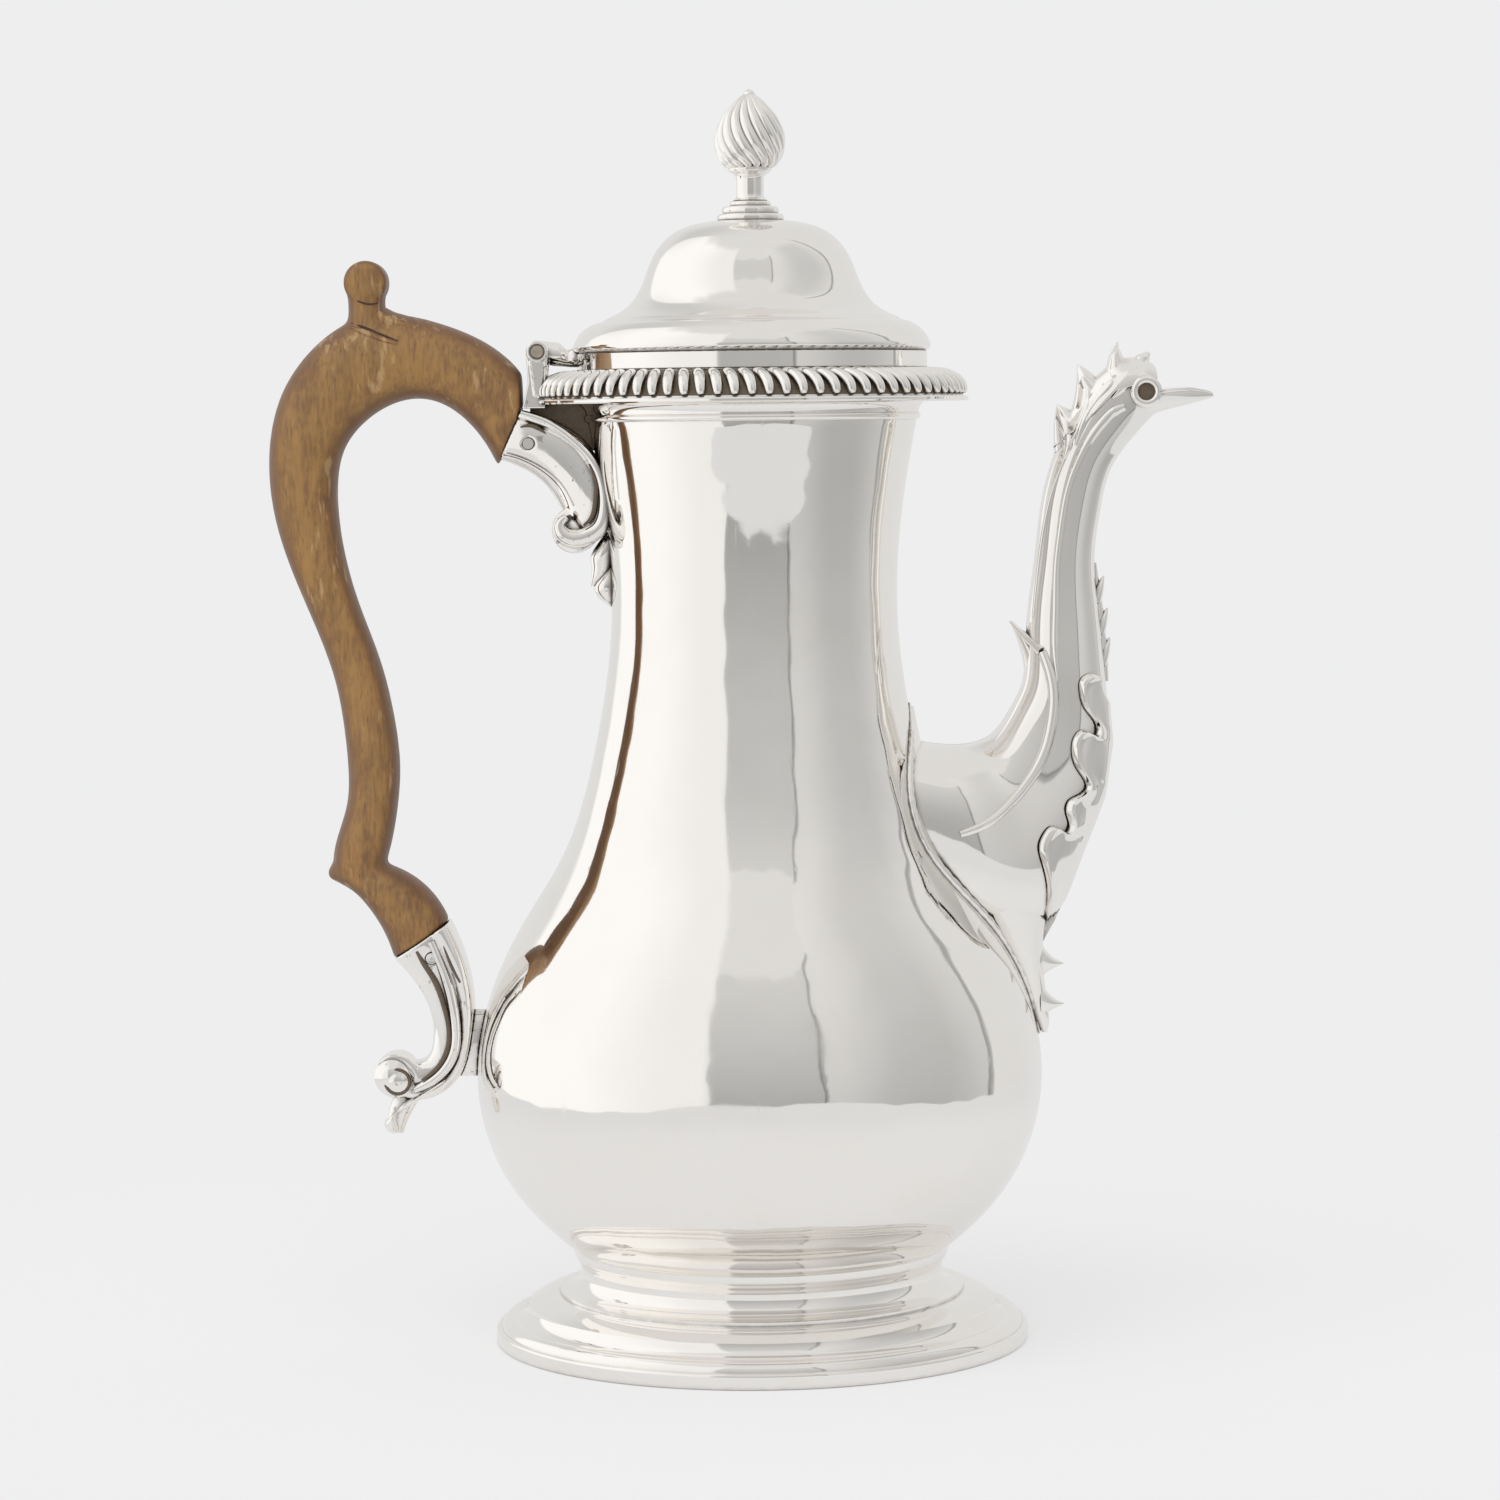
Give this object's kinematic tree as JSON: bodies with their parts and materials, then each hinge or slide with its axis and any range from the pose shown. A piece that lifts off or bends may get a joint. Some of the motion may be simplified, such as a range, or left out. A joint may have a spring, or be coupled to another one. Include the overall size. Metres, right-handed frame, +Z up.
{
  "type": "coffee pot",
  "caption": "Pear-shaped silver coffee pot on a spreading foot, with a hinged domed lid, a ridged swan-neck spout and a wooden C-scroll handle held in cast sockets.",
  "frame": {"origin": "centre of the foot on the table", "axes": "+Z up along the body's axis, +X towards the spout, so the handle is at -X and the lid's hinge pin lies along Y"},
  "size_m": [0.2147, 0.1292, 0.2848],
  "materials": {
    "silver": "polished",
    "fruitwood": "satin",
    "pin_metal": "satin"
  },
  "bodies": {
    "pot": {"body": "silver", "foot": "silver", "foot_band": "silver", "neck_moulding": "silver", "gadroon_border": "silver", "spout_near_half": "silver", "spout_far_half": "silver", "spout_crest": "silver", "spout_leaf": "silver", "spout_root_mount": "silver", "hinge_bracket": "silver", "hinge_pin": "pin_metal", "hinge_web": "silver", "upper_socket": "silver", "upper_socket_drop": "silver", "lower_socket": "silver", "strut": "silver", "upper_handle_pin": "silver", "lower_handle_pin": "silver", "wooden_handle": "fruitwood"},
    "lid": {"lid_dome": "silver", "lid_band": "silver", "lid_bezel": "silver", "lid_hinge_arm": "silver", "finial_pedestal": "silver", "finial_bud": "silver", "finial_nut": "silver"}
  },
  "joints": [
    {"name": "lid_hinge", "type": "hinge", "parent": "pot", "child": "lid", "pos_m": [-0.0484, 0, 0.2261], "axis": [0, -1, 0], "range_deg": [0, 105]}
  ]
}
